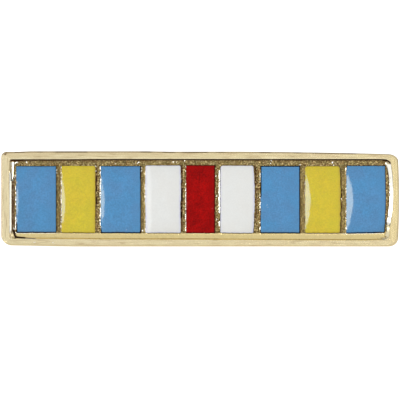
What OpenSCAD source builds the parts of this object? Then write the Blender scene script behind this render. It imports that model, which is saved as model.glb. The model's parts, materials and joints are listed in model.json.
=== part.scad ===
/* [Bar] */
// Length of the bar from end to end
bar_w = 16.7; // [14:0.1:22]
// Height of the bar across its two long edges
bar_h = 3.98; // [3.9:0.01:5]
// Thickness of the bar from its back to the top of the rim
bar_t = 1.2; // [1.1:0.05:1.6]
// Radius of the four outer corners
corner_r = 0.3; // [0.2:0.05:0.5]
// Rounding of the rim along its outer front edge
edge_r = 0.1; // [0.05:0.01:0.15]

/* [Face] */
// Width of the flat top of the raised rim
rim_w = 0.32; // [0.25:0.01:0.36]
// Radius of the rim's four inner corners
inner_r = 0.2; // [0.1:0.05:0.25]
// Depth of the ground below the top of the rim
ground_d = 0.2; // [0.1:0.01:0.25]
// Run of the sloped wall at each end of the ground
end_slope = 0.1; // [0.05:0.01:0.15]
// Run of the sloped wall along each long side of the ground
side_slope = 0.05; // [0.02:0.01:0.08]

/* [Enamel] */
// Distance from each end of the bar to the first band
row_margin = 0.6; // [0.6:0.01:0.8]
// Height of every band of enamel
band_h = 2.77; // [2.6:0.01:2.9]
// Depth of the pockets below the ground
pocket_d = 0.45; // [0.3:0.01:0.5]
// Radius of the corners of the pockets
pocket_r = 0.08; // [0.05:0.01:0.15]
// How far the enamel lies below the ground
fill_drop = 0.04; // [0:0.01:0.1]
// Gap between the enamel and its pocket
fill_gap = 0.02; // [0.01:0.005:0.03]

/* [Post] */
// Radius of the post
post_r = 0.55; // [0.5:0.05:0.65]
// Length of the post from the back of the bar to the start of its point
shank_l = 7.2; // [6.5:0.1:8]
// Length of the point
point_l = 0.9; // [0.5:0.1:1.2]
// Radius of the blunt end of the point
tip_r = 0.1; // [0.05:0.01:0.15]
// Radius of the round pad that holds the post to the back
pad_r = 1.3; // [1:0.05:1.5]
// Thickness of the pad that shows behind the bar
pad_proud = 0.15; // [0.1:0.01:0.3]
// Depth of the round seat in the back that takes the pad
seat_d = 0.2; // [0.1:0.01:0.25]
// Gap between the pad and its seat
seat_gap = 0.02; // [0.01:0.005:0.03]
// Distance from the back of the bar to the clutch groove
groove_at = 5.6; // [5:0.1:5.7]
// Width of the clutch groove
groove_w = 0.6; // [0.55:0.05:0.7]
// Depth of the clutch groove
groove_d = 0.17; // [0.16:0.01:0.2]

/* [Hidden] */
$fn = 64;
// Columns of the table of bands
COLOUR = 0;
WIDTH = 1;
LINE = 2;
// The bands from left to right: colour, width, and width of the metal line that follows
BANDS = [
    ["blue", 1.66, 0.24],
    ["yellow", 1.42, 0.23],
    ["blue", 1.65, 0.21],
    ["white", 1.50, 0.22],
    ["red", 1.22, 0.21],
    ["white", 1.46, 0.25],
    ["blue", 1.61, 0.28],
    ["yellow", 1.44, 0.27],
    ["blue", 1.63, 0],
];
LAST = len(BANDS) - 1;
// The row of bands fills the bar between its margins, cut to hundredths of a millimetre
function sum_to(i) = i < 0 ? 0 : sum_to(i - 1) + BANDS[i][WIDTH] + BANDS[i][LINE];
row_scale = (bar_w - 2 * row_margin) / sum_to(LAST);
function fitted(w) = round(100 * w * row_scale) / 100;
function band_w(i) = fitted(BANDS[i][WIDTH]);
function run_to(i) = i < 0 ? 0 : run_to(i - 1) + band_w(i) + fitted(BANDS[i][LINE]);
function band_x(i) = run_to(i - 1) + band_w(i) / 2 - run_to(LAST) / 2;
function band_name(i) = str("enamel_", i + 1, "_", BANDS[i][COLOUR]);
function shade(name) =
    name == "blue" ? "#5c8fb8" :
    name == "yellow" ? "#dcc83c" :
    name == "white" ? "#eeeeea" : "#a01818";
gilt = "#dcc890";

// Heights above the back of the bar
ground_z = bar_t - ground_d;
pocket_z = ground_z - pocket_d;
tip_z = -shank_l - point_l;
// A cut runs this far past the surface that it opens
past = 0.5;

// The pin leans back on its post: the lower back edge and the start of the point touch the table
lean = atan((bar_h / 2 - post_r) / shank_l);
front_y = edge_r * sin(lean) - (bar_t - edge_r) * cos(lean) - edge_r;
back_y = (bar_h / 2 + tip_r) * sin(lean) - tip_z * cos(lean);

// Each piece is drawn with the bar's back on z = 0 and its face up, then set on the table here
module leaning() {
    translate([0, -(front_y + back_y) / 2, 0])
        rotate([90 - lean, 0, 0])
            translate([0, bar_h / 2, 0])
                children();
}

// Rectangle about the origin with rounded corners
module rounded(w, h, r) {
    square([w - 2 * r, h], center = true);
    square([w, h - 2 * r], center = true);
    for (x = [-1, 1])
        for (y = [-1, 1])
            translate([x * (w / 2 - r), y * (h / 2 - r)])
                circle(r = r);
}

// The struck blank: its outline, with the front edge rounded along the sides and the ends
module blank() {
    intersection() {
        linear_extrude(bar_t)
            rounded(bar_w, bar_h, corner_r);
        rotate([90, 0, 90])
            linear_extrude(bar_w + 2 * past, center = true)
                rounded(bar_h, 2 * bar_t, edge_r);
        rotate([90, 0, 0])
            linear_extrude(bar_h + 2 * past, center = true)
                rounded(bar_w, 2 * bar_t, edge_r);
    }
}

// Outline across one wall pair of the ground, from the ground up past the rim
module sloped(w, slope) {
    top = w / 2 - rim_w;
    rise = slope * past / ground_d;
    polygon([
        [-top + slope, ground_z],
        [top - slope, ground_z],
        [top + rise, bar_t + past],
        [-top - rise, bar_t + past],
    ]);
}

// The space inside the rim, over the ground
module ground() {
    intersection() {
        rotate([90, 0, 0])
            linear_extrude(bar_h, center = true)
                sloped(bar_w, end_slope);
        rotate([90, 0, 90])
            linear_extrude(bar_w, center = true)
                sloped(bar_h, side_slope);
        linear_extrude(bar_t + past)
            rounded(bar_w - 2 * rim_w, bar_h - 2 * rim_w, inner_r);
    }
}

// One pocket, or the enamel in it where it is drawn smaller by a gap
module cell(i, gap, bottom, top) {
    translate([band_x(i), 0, bottom])
        linear_extrude(top - bottom)
            rounded(band_w(i) - 2 * gap, band_h - 2 * gap, pocket_r - gap);
}

module bar() {
    color(gilt)
        leaning()
            difference() {
                blank();
                ground();
                for (i = [0 : LAST])
                    cell(i, 0, pocket_z, ground_z + ground_d / 2);
                translate([0, 0, -past])
                    cylinder(h = past + seat_d, r = pad_r + seat_gap);
            }
}

module enamel(i) {
    color(shade(BANDS[i][COLOUR]))
        leaning()
            cell(i, fill_gap, pocket_z + fill_gap, ground_z - fill_drop);
}

// The pad, the shank with its groove for a clutch, and the point, turned in one piece
module post() {
    color(gilt)
        leaning()
            rotate_extrude()
                polygon([
                    [0, seat_d - seat_gap],
                    [pad_r, seat_d - seat_gap],
                    [pad_r, -pad_proud],
                    [post_r, -pad_proud],
                    [post_r, -groove_at],
                    [post_r - groove_d, -groove_at - groove_d],
                    [post_r - groove_d, -groove_at - groove_w + groove_d],
                    [post_r, -groove_at - groove_w],
                    [post_r, -shank_l],
                    [tip_r, tip_z],
                    [0, tip_z],
                ]);
}

bar();
post();
for (i = [0 : LAST])
    enamel(i);
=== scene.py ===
"""A gilt ribbon bar lapel pin with nine bands of enamel, leaning back on its post on a pale table."""

import json
import math

import bmesh
import bpy
import numpy as np
from mathutils import Matrix, Vector


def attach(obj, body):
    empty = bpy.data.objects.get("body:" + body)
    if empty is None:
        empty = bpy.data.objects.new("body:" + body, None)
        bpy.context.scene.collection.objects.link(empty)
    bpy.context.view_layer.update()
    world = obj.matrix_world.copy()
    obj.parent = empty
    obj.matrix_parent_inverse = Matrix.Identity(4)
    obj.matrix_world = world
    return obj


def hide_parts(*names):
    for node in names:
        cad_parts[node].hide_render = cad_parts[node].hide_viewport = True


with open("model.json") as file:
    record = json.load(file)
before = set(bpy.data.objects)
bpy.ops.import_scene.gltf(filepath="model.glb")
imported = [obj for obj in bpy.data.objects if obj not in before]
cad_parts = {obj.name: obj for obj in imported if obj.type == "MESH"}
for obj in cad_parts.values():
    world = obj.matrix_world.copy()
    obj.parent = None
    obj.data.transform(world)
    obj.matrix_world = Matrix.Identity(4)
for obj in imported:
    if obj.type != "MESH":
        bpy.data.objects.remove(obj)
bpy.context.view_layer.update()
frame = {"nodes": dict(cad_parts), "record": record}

# The face's own axes
# The pin leans back on its post, so the bar is drawn flat, in millimetres, and then leaned as a whole.
# Its axes run along the bar, up its face and out of it, from the middle of the flat back.
MM = 0.001
mounts = {mount["name"]: mount for mount in frame["record"]["mounts"]}
along = Vector((1, 0, 0))
out = -Vector(mounts["post"]["axis"]).normalized()
up = out.cross(along)
on_post = Vector(mounts["post"]["pos_m"])
on_back = Vector(mounts["back_face"]["pos_m"])
lean = Matrix((along, up, out)).transposed().to_4x4()
lean.translation = on_post + out * (on_back - on_post).dot(out)
leaned = lean @ Matrix.Scale(MM, 4)
flat = leaned.inverted()


def span(node):
    """Lowest and highest corner of a CAD node along the face's axes, in millimetres."""
    points = np.array([flat @ v.co for v in frame["nodes"][node].data.vertices])
    return points.min(0), points.max(0)


# Camera and light
# The camera looks square at the face through a long lens. A pale room is all round, darker to the left
# and the right, with one bright panel just right of the camera and one far to the left of the face.
bar_high = span("bar")[1]
PICTURE_W = 16.767
PICTURE_AIM = (-0.008, -0.048)
SENSOR_W = 36
LENS = 600
CLIP_M = (0.005, 20)


def in_scene(name, data):
    """A new object in the scene, made of that data."""
    made = bpy.data.objects.new(name, data)
    bpy.context.scene.collection.objects.link(made)
    return made


camera_data = bpy.data.cameras.new("camera")
camera_data.sensor_width = SENSOR_W
camera_data.lens = LENS
camera_data.clip_start, camera_data.clip_end = CLIP_M
camera = in_scene("camera", camera_data)
away = PICTURE_W / SENSOR_W * LENS
camera.matrix_world = lean @ Matrix.Translation(Vector((*PICTURE_AIM, bar_high[2] + away)) * MM)
bpy.context.scene.camera = camera
bpy.context.scene.view_settings.view_transform = "Standard"


def add_node(tree, kind, inputs=None, **settings):
    """A new node with its settings, and its inputs as values or as links from other nodes."""
    made = tree.nodes.new(kind)
    for name, value in settings.items():
        setattr(made, name, value)
    for key, value in (inputs or {}).items():
        if isinstance(value, bpy.types.NodeSocket):
            tree.links.new(value, made.inputs[key])
        else:
            made.inputs[key].default_value = value
    return made


def maths(tree, operation, *values):
    """The result of one step of arithmetic on values or on other nodes' results."""
    return add_node(tree, "ShaderNodeMath", dict(enumerate(values)), operation=operation).outputs[0]


def rescaled(tree, value, start, end, low=0, high=1):
    """The value's place between start and end, as a number from low to high."""
    inputs = {"Value": value, "From Min": start, "From Max": end, "To Min": low, "To Max": high}
    return add_node(tree, "ShaderNodeMapRange", inputs).outputs["Result"]


def ramp(tree, factor, *stops):
    """A colour that runs through (place, colour) stops as the factor goes from 0 to 1."""
    made = add_node(tree, "ShaderNodeValToRGB", {"Fac": factor})
    elements = made.color_ramp.elements
    while len(elements) < len(stops):
        elements.new(1)
    for element, (place, colour) in zip(elements, stops):
        element.position = place
        element.color = (*colour, 1)
    return made.outputs["Color"]


def blend(tree, factor, a, b):
    """Colour a where the factor is 0 and b where it is 1."""
    made = add_node(tree, "ShaderNodeMix", data_type="RGBA")
    sockets = [s for s in made.inputs if s.enabled]
    for socket, value in zip(sockets, (factor, a, b)):
        if isinstance(value, bpy.types.NodeSocket):
            tree.links.new(value, socket)
        else:
            socket.default_value = value
    return [s for s in made.outputs if s.enabled][0]


# Brightness of the room at each bearing from the camera's side of the face, in degrees to the right
ROOM = (
    (-180, 0.75), (-120, 0.85), (-75, 0.80), (-58, 0.20), (-24, 0.14), (-13, 0.78),
    (12, 0.78), (36, 0.55), (60, 0.40), (80, 0.70), (120, 0.80), (180, 0.75),
)
# Brightness above and below, and between which shares of a ray's rise or fall the walls give way to it
SKY = 0.82
SKY_STARTS = 0.35
SKY_WHOLE = 0.6
WHITE = (1, 1, 1)

world = bpy.data.worlds.new("pale room")
bpy.context.scene.world = world
world.use_nodes = True
room = world.node_tree
room.nodes.clear()
direction = add_node(room, "ShaderNodeTexCoord").outputs["Generated"]


def part_along(axis):
    """How far the direction of a ray into the room runs along an axis."""
    inputs = {0: direction, 1: tuple(axis)}
    return add_node(room, "ShaderNodeVectorMath", inputs, operation="DOT_PRODUCT").outputs["Value"]


bearing = maths(room, "ARCTAN2", part_along(along), part_along(out))
turn = rescaled(room, bearing, -math.pi, math.pi)
walls = ramp(room, turn, *[((a + 180) / 360, (v, v, v)) for a, v in ROOM])
height = maths(room, "ABSOLUTE", part_along(up))
lit = blend(room, rescaled(room, height, SKY_STARTS, SKY_WHOLE), walls, (SKY, SKY, SKY, 1))
glow = add_node(room, "ShaderNodeBackground", {"Color": lit})
paper = add_node(room, "ShaderNodeBackground", {"Color": (*WHITE, 1)})
seen = add_node(room, "ShaderNodeLightPath").outputs["Is Camera Ray"]
both = add_node(room, "ShaderNodeMixShader", {0: seen, 1: glow.outputs[0], 2: paper.outputs[0]})
add_node(room, "ShaderNodeOutputWorld", {"Surface": both.outputs[0]})

# Each panel's bearings, like the room's, how many degrees tall it is, and its radiance
PANELS = {
    "panel right of the camera": ((10.5, 34), 24, 5.0),
    "panel far left": ((-112, -62), 20, 3.2),
}
PANEL_AWAY = 1.2


def panel_side(angle):
    """Length of a panel's side that takes up that angle, in degrees, as seen from the bar."""
    return 2 * PANEL_AWAY * math.tan(math.radians(angle) / 2)


for name, ((from_bearing, to_bearing), tall, radiance) in PANELS.items():
    middle = math.radians((from_bearing + to_bearing) / 2)
    towards = along * math.sin(middle) + out * math.cos(middle)
    sideways = up.cross(towards).normalized()
    data = bpy.data.lights.new(name, "AREA")
    data.shape = "RECTANGLE"
    data.size = panel_side(to_bearing - from_bearing)
    data.size_y = panel_side(tall)
    data.energy = math.pi * radiance * data.size * data.size_y
    panel = in_scene(name, data)
    stance = Matrix((sideways, towards.cross(sideways), towards)).transposed().to_4x4()
    stance.translation = lean.translation + towards * PANEL_AWAY
    panel.matrix_world = stance
    panel.visible_camera = False

# Table
# A plain white sheet that runs to the horizon. It glows a little, as white paper under full light does,
# and more where it is seen straight from the camera.
TABLE_SIZE = 6
SHEET_TONE = 0.45
SHEET_GLOW = 0.65
SHEET_GLOW_STRAIGHT = 0.35
table_mesh = bpy.data.meshes.new("table")
corner = TABLE_SIZE / 2
table_mesh.from_pydata(
    [(-corner, -corner, 0), (corner, -corner, 0), (corner, corner, 0), (-corner, corner, 0)],
    [], [(0, 1, 2, 3)],
)
table = in_scene("table", table_mesh)


def blank_material(name):
    """A new material with no nodes yet, and its tree."""
    made = bpy.data.materials.new(name)
    made.use_nodes = True
    made.node_tree.nodes.clear()
    return made, made.node_tree


def finish_with(tree, inputs):
    """Ends a material's tree in one shader with those inputs."""
    shader = add_node(tree, "ShaderNodeBsdfPrincipled", inputs)
    add_node(tree, "ShaderNodeOutputMaterial", {"Surface": shader.outputs[0]})


white_sheet, sheet_tree = blank_material("white sheet")
straight = add_node(sheet_tree, "ShaderNodeLightPath").outputs["Is Camera Ray"]
finish_with(sheet_tree, {
    "Base Color": (SHEET_TONE, SHEET_TONE, SHEET_TONE, 1), "Roughness": 0.9, "Specular IOR Level": 0.1,
    "Emission Color": (*WHITE, 1),
    "Emission Strength": maths(sheet_tree, "MULTIPLY_ADD", straight, SHEET_GLOW_STRAIGHT, SHEET_GLOW),
})
table_mesh.materials.append(white_sheet)

# Bar
# One piece of brass, struck in a die and gilt: a raised rim round a sunken ground, with nine pockets
# whose metal lines keep the enamels apart. The rim is polished; the ground is left toned and grainy.
# The finest grid lines run this far to either side of a pocket's edge
LINE_HALF = 0.004
POCKET_H = 2.77
FILL_GAP = 0.02
ROW_SHIFT = 0.025
# How far each pocket's left, right, lower left, lower right and upper edge lies from an even row's
POCKET_EDGES = (
    (0.000, 0.030, -0.046, -0.046, -0.004), (0.000, 0.010, -0.050, -0.060, 0.005),
    (0.000, 0.030, -0.058, -0.062, -0.004), (0.005, 0.005, -0.063, -0.063, 0.021),
    (0.000, -0.004, -0.060, -0.060, 0.030), (-0.005, -0.010, -0.060, -0.072, 0.013),
    (-0.020, 0.030, -0.066, -0.070, 0.005), (-0.040, 0.000, -0.066, -0.066, -0.012),
    (-0.020, 0.000, -0.078, -0.045, 0.013),
)
# Radius of each pocket's corners, and how ragged its edges are
POCKET_CORNERS = (0.03, 0.04, 0.03, 0.08, 0.02, 0.10, 0.03, 0.11, 0.03)
RAGGED = (0.005, 0.006, 0.005, 0.009, 0.004, 0.008, 0.005, 0.010, 0.006)
# Sides that bend, by pocket and side (0 left, 1 right): height up the face and shift
BENDS = {
    (3, 0): ((-1.3, 0.02), (-0.8, 0.01), (0, 0), (1.3, 0.01)),
    (3, 1): ((-1.3, -0.01), (-0.1, -0.012), (0.3, 0.012), (1.3, -0.01)),
    (5, 1): ((-1.3, -0.05), (-0.8, -0.015), (-0.2, 0), (0.6, 0), (1.0, -0.02), (1.3, -0.05)),
    (7, 1): ((-1.3, 0.0), (-0.5, 0.015), (0.3, 0.02), (1.3, -0.01)),
    (8, 1): ((-1.42, -0.05), (-1.0, -0.015), (-0.3, 0.02), (0.2, 0.02), (1.38, -0.005)),
}
names = sorted(name for name in frame["nodes"] if name.startswith("enamel_"))
fills = [span(name) for name in names]
pockets = [
    (low[0] - FILL_GAP + ROW_SHIFT + shifts[0], high[0] + FILL_GAP + ROW_SHIFT + shifts[1])
    for (low, high), shifts in zip(fills, POCKET_EDGES)
]
sides = np.array(pockets).ravel()
lower_edge = np.array([shift for shifts in POCKET_EDGES for shift in shifts[2:4]])
upper_edge = np.array([shifts[4] for shifts in POCKET_EDGES for _ in range(2)])
pocket_z = fills[0][0][2] - FILL_GAP
half_pocket = POCKET_H / 2
rim_z = bar_high[2]
GROUND_DROP = 0.2
ground_z = rim_z - GROUND_DROP
half_w = bar_high[0]
half_h = bar_high[1]
RIM_W = 0.32
# The grid of points reaches a little past the row of pockets
GRID_LEFT = pockets[0][0] - 0.03
GRID_RIGHT = pockets[-1][1] + 0.015
GRID_H = half_pocket + 0.04


def cut(stops, step):
    """Grid lines through every stop, with each stretch between stops cut into about equal steps."""
    lines = [stops[0]]
    for a, b in zip(stops, stops[1:]):
        count = max(1, round((b - a) / step))
        lines += [a + (b - a) * k / count for k in range(1, count + 1)]
    return np.array(lines)


def blotches(x, y, size, seed):
    """Smooth random heights from -1 to 1 over the face, in patches of that size."""
    count = 256
    heights = np.random.default_rng(seed).random((count, count)) * 2 - 1
    u = np.asarray(x) / size + count / 2
    v = np.asarray(y) / size + count / 2
    i = np.floor(u).astype(int)
    j = np.floor(v).astype(int)
    f = (u - i) ** 2 * (3 - 2 * (u - i))
    g = (v - j) ** 2 * (3 - 2 * (v - j))
    i0, i1, j0, j1 = i % count, (i + 1) % count, j % count, (j + 1) % count
    low = heights[i0, j0] * (1 - f) + heights[i1, j0] * f
    high = heights[i0, j1] * (1 - f) + heights[i1, j1] * f
    return low * (1 - g) + high * g


def waves_up(y, size, seed):
    """Smooth random heights from -1 to 1 that change up the face only."""
    return blotches(0 * y, y, size, seed)


def waves_along(x, size, seed):
    """Smooth random heights from -1 to 1 that change along the bar only."""
    return blotches(x, 0 * x, size, seed)


def step_up(value, start, end):
    """0 before start, 1 after end, and a smooth rise between them."""
    t = np.clip((np.asarray(value, float) - start) / (end - start), 0, 1)
    return t * t * (3 - 2 * t)


def step_down(value, start, end):
    """1 before start, 0 after end, and a smooth fall between them."""
    return step_up(-np.asarray(value, float), -end, -start)


# The waves that make an edge ragged: size, strength and the first edge's seed
EDGE_WAVES = ((0.06, 1, 100), (0.16, 0.8, 140))
# Between these heights, up or down the face, the shift of a pocket's upper or lower edge comes in
TO_POCKET_END = (0.8, 1.3)


def slipped(x, y, ragged_reach, bend_reach):
    """Points of an even face, moved to where the real pockets, a little uneven, have them."""
    dx = np.zeros_like(x)
    for k, side_x in enumerate(sides):
        pocket, side = divmod(k, 2)
        bend = BENDS.get((pocket, side), ((-1, 0), (1, 0)))
        slow = np.interp(y, [height for height, _ in bend], [shift for _, shift in bend])
        r = POCKET_CORNERS[pocket]
        into_corner = np.clip(r - half_pocket + np.abs(y), 0, r)
        slow = slow + (1 - 2 * side) * (r - np.sqrt(r * r - into_corner ** 2))
        quick = sum(strength * waves_up(y, size, seed + k) for size, strength, seed in EDGE_WAVES)
        inner = (1 - 2 * side) * (x - side_x)
        # Out over a metal line the shift fades out towards the next pocket's edge
        share_out = 1
        if 0 < k < len(sides) - 1:
            share_out = 1 - np.clip(-inner / abs(sides[k - 1 + 2 * side] - side_x), 0, 1)
        far_in = np.where(inner > 0, 1 - step_up(inner, 0, bend_reach), share_out)
        near_in = np.where(inner > 0, 1 - step_up(inner, 0, ragged_reach), share_out)
        dx += far_in * slow + near_in * RAGGED[pocket] * quick
    at_top = np.interp(x, sides, upper_edge) + 0.004 * waves_along(x, 0.09, 180)
    at_bottom = np.interp(x, sides, lower_edge) + 0.005 * waves_along(x, 0.11, 181)
    dy = at_top * step_up(y, *TO_POCKET_END) + at_bottom * step_up(-y, *TO_POCKET_END)
    return x + dx, y + dy


# Each metal line: width and slope of its rounded left edge, how far in the shadow there starts and ends,
# where it falls, width and slope of its rounded right edge, and where that one is polished. Where means
# stretches up the face, each from one height to another, with a strength.
METAL_LINES = (
    ((0.04, 0.25), (0.12, 0.17), ((-1.1, 1.1, 0.42),),
     (0.030, 0.27), ((-1.14, 1.42, 0.8), (-1.4, -1.14, 0.5))),
    ((0.04, 0.25), (0.016, 0.076), ((-0.28, 1.36, 1.5), (-1.3, -0.3, 0.20)),
     (0.04, 0.27), ((-1.36, 1.42, 0.95),)),
    ((0.04, 0.25), (-0.01, 0.03), ((0.6, 1.42, 0.8), (-1.4, -1.05, 0.9)),
     (0.05, 0.30), ((-1.3, 1.3, 0.44),)),
    ((0.07, 0.50), (-0.01, 0.088), ((-0.9, 1.42, 1.4), (-1.3, -0.9, 0.6)),
     (0.035, 0.28), ((-1.29, 0.82, 1.3), (1.1, 1.42, 0.7))),
    ((0.04, 0.25), (0.06, 0.10), ((-1.3, 1.3, 0.25),),
     (0.07, 0.25), ((-0.60, 1.20, 1.5), (-1.3, -0.8, 0.7))),
    ((0.04, 0.25), (0.030, 0.088), ((0.4, 1.38, 1.4), (-0.9, 0.4, 0.62)),
     (0.036, 0.28), ((0.58, 1.25, 0.75), (-0.5, 0.28, 0.9), (-1.3, -0.95, 0.65))),
    ((0.04, 0.25), (-0.01, 0.03), ((-1.4, 1.4, 0.5),),
     (0.030, 0.18), ((-1.2, 1.1, 0.3), (0.55, 0.80, 0.5))),
    ((0.05, 0.40), (-0.005, 0.070), ((-0.03, 0.58, 1.4), (-0.38, -0.16, 1.0), (-1.4, 1.2, 0.3)),
     (0.034, 0.28), ((0.98, 1.42, 1.0), (-1.35, 0.95, 0.58))),
)
metal_lines = [
    (left, right, line) for (_, left), (right, _), line in zip(pockets, pockets[1:], METAL_LINES)
]
# The lines whose toned skin is smoother than the others'
EVEN_LINES = (0, 2, 6, 7)
# The narrow strip at the left end of the row has a polished edge only
END_STRIP_EDGE = (0.03, 0.28)
END_STRIP_SHINES = ((-1.45, 0.55, 0.66), (0.75, 1.15, 0.45))
END_STRIP_SHINE_FROM = (-7.765, -7.75)
# Width and slope of the rounded edge above and below the pockets
ROW_EDGE = (0.03, 0.35)
# Points this close past a pocket's edge still count as on it
HAIR = 0.001
# Height, size and seed of the two sorts of grain that cover the toned ground
GRAINS = ((0.0045, 0.11, 3), (0.0032, 0.055, 4))
# The ground climbs a little below the pockets, towards the foot of the rim
COVE_START = 0.08
COVE_W = half_h - RIM_W - half_pocket - 0.05
COVE_RISE = 0.055
# Single grains that stand proud and are polished: place on the face
PIP_R = 0.025
PIP_H = 0.005
PIPS = (
    (-6.02, 1.21), (-6.02, 1.08), (-4.38, 1.37), (-4.38, 1.17), (-2.47, 1.29), (-2.47, 1.17), (-2.43, -1.28),
    (0.655, 0.955), (0.69, 0.12), (0.69, -0.86), (4.20, 1.44), (5.91, 0.0),
    (-2.775, 1.503), (-3.57, 1.461), (-2.586, 1.545), (-2.62, 1.50), (-1.14, 1.545), (-1.014, 1.53),
    (5.546, 1.545), (5.59, 1.44), (5.53, 1.50), (-7.28, 1.545), (-0.66, 1.60), (2.95, 1.48), (2.99, 1.60),
)


def worn_edge(distance, width, slope):
    """How far a rounded edge lies below the surface at a distance from its corner."""
    return width * slope / 2 * (1 - np.clip(distance / width, 0, 1)) ** 2


def on_pip(x, y, pip, reach):
    """1 on a single grain, and less and less within about that reach of it."""
    return np.exp(-((x - pip[0]) ** 2 + (y - pip[1]) ** 2) / reach ** 2)


def ground_height(x, y):
    """Height of the toned ground and the metal lines over the back of the bar."""
    on_lines = step_down(np.abs(y), half_pocket, half_pocket + 0.05)
    smooth = step_down(y, -half_pocket - 0.02, -half_pocket + 0.02)
    z = np.full(np.shape(x), ground_z)
    z = z + (1 - smooth) * sum(tall * blotches(x, y, size, seed) for tall, size, seed in GRAINS)
    for seed, (left, right, (left_edge, _, _, right_edge, _)) in enumerate(metal_lines):
        inside = (x > left - HAIR) & (x < right + HAIR)
        wear_l = left_edge[0] * (1 + 0.35 * waves_up(y, 0.12, 20 + seed))
        wear_r = right_edge[0] * (1 + 0.25 * waves_up(y, 0.07, 40 + seed))
        drop = worn_edge(x - left, wear_l, left_edge[1]) + worn_edge(right - x, wear_r, right_edge[1])
        z = z - on_lines * np.where(inside, drop, 0)
    row_start = pockets[0][0]
    end_strip = (x > row_start - 0.1) & (x < row_start + HAIR)
    z = z - on_lines * np.where(end_strip, worn_edge(row_start - x, *END_STRIP_EDGE), 0)
    z = z - (1 - on_lines) * worn_edge(np.abs(y) - half_pocket, *ROW_EDGE)
    for pip in PIPS:
        z = z + PIP_H * on_pip(x, y, pip, PIP_R)
    climbed = np.clip((-half_pocket - COVE_START - y) / COVE_W, 0, 1)
    return z + COVE_RISE * climbed ** 2


# A grid over the whole row follows every pocket's edges, with finer steps close to them
POCKET_STEP = 0.044
METAL_STEP = 0.02
UP_STEP = 0.036
STEPS_TO_EDGE = (0.12, 0.08, 0.05, 0.03, 0.015, LINE_HALF, 0, -LINE_HALF)
# The points on a pocket's own edge lie a little below the metal, which rounds it
EDGE_DROP = 0.03
stops = [GRID_LEFT]
for pocket_edges in pockets:
    stops += [edge + shift for edge in pocket_edges for shift in (-LINE_HALF, 0, LINE_HALF)]
stops.append(GRID_RIGHT)
columns = []
for a, b in zip(stops, stops[1:]):
    in_pocket = any(left < (a + b) / 2 < right for left, right in pockets)
    columns.append(cut([a, b], POCKET_STEP if in_pocket else METAL_STEP)[:-1])
grid_x = np.append(np.concatenate(columns), GRID_RIGHT)
near_edge = [half_pocket - inwards for inwards in STEPS_TO_EDGE] + [GRID_H]
grid_y = cut([-height for height in near_edge[::-1]] + near_edge, UP_STEP)
nx, ny = len(grid_x), len(grid_y)
even_x, even_y = [even.ravel() for even in np.meshgrid(grid_x, grid_y)]
# Points this close to a pocket's edge lie on it
ON_EDGE = 1e-6
sunk = np.zeros(even_x.shape, bool)
part_sunk = np.zeros(even_x.shape, bool)
for left, right in pockets:
    deep_in = np.minimum(np.minimum(even_x - left, right - even_x), half_pocket - np.abs(even_y))
    sunk |= deep_in > ON_EDGE
    part_sunk |= np.abs(deep_in) <= ON_EDGE
grid_z = np.where(sunk, pocket_z, ground_height(even_x, even_y) - EDGE_DROP * part_sunk)
real_x, real_y = slipped(even_x, even_y, ragged_reach=0.1, bend_reach=0.2)
rows = [np.stack([real_x, real_y, grid_z], -1)]
faces = [
    (j * nx + i, j * nx + i + 1, (j + 1) * nx + i + 1, (j + 1) * nx + i)
    for j in range(ny - 1) for i in range(nx - 1)
]

# The edge of that grid, once round, and the outlines that it opens out to, one ring after another
around = [(0, i) for i in range(nx)] + [(j, nx - 1) for j in range(1, ny)]
around += [(ny - 1, i) for i in range(nx - 2, -1, -1)] + [(j, 0) for j in range(ny - 2, 0, -1)]
first_ring = [j * nx + i for j, i in around]
even_edge = np.array([(grid_x[i], grid_y[j]) for j, i in around])
grid_edge = rows[0][first_ring, :2]
grid_middle = ((GRID_LEFT + GRID_RIGHT) / 2, 0)
unit = (even_edge - grid_middle) / ((GRID_RIGHT - GRID_LEFT) / 2, GRID_H)


def outline(left, right, half_y, radii):
    """A rectangle with four corner radii (lower left, lower right, upper left, upper right), once round."""
    half = np.array([(right - left) / 2, half_y])
    p = unit * half
    lower_left, lower_right, upper_left, upper_right = radii
    r = np.where(
        p[:, 1] < 0, np.where(p[:, 0] < 0, lower_left, lower_right),
        np.where(p[:, 0] < 0, upper_left, upper_right),
    )[:, None]
    core = np.clip(p, r - half, half - r)
    off = p - core
    reach = np.linalg.norm(off, axis=1, keepdims=True)
    return core + off / np.maximum(reach, 1e-9) * r + ((left + right) / 2, 0)


def follow(points, line, share):
    """Move points up or down the face by a line of (place along the bar, shift), each by its share."""
    shifts = np.interp(points[:, 0], [place for place, _ in line], [shift for _, shift in line])
    points[:, 1] += share * shifts


# The rim is a little wider at its left end, its upper edge is polished away towards the right, and its
# lower inner edge sinks a little towards the right
OUTER_CORNERS = (0.46, 0.45, 0.24, 0.42)
INNER_CORNERS = (0.12, 0.25, 0.06, 0.20)
UPPER_EDGE = (
    (-8.35, -0.012), (-7.6, -0.012), (-7.1, 0.010), (-2.3, 0.010), (-1.3, -0.007), (1.6, -0.007),
    (3.5, -0.022), (5.4, -0.052), (7.45, -0.095), (8.35, -0.13),
)
LOWER_EDGE = ((-8.35, 0.040), (-7.6, 0.028), (-6.2, 0.004), (-5.2, -0.010), (8.35, -0.010))
UPPER_INNER = ((-8, -0.010), (-6, -0.009), (-4.2, 0.003), (7.5, 0.002), (7.9, -0.014))
LOWER_INNER = ((-7.7, 0), (-3.4, -0.042), (0, -0.046), (3.3, -0.067), (6.9, -0.08), (7.8, -0.05))
# Left and right end of the inner wall's top and foot, and how far in its foot lies on the long sides
WALL_TOP = (-7.998, 8.082)
WALL_FOOT = (-7.775, 7.945)
WALL_IN = 0.055
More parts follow.
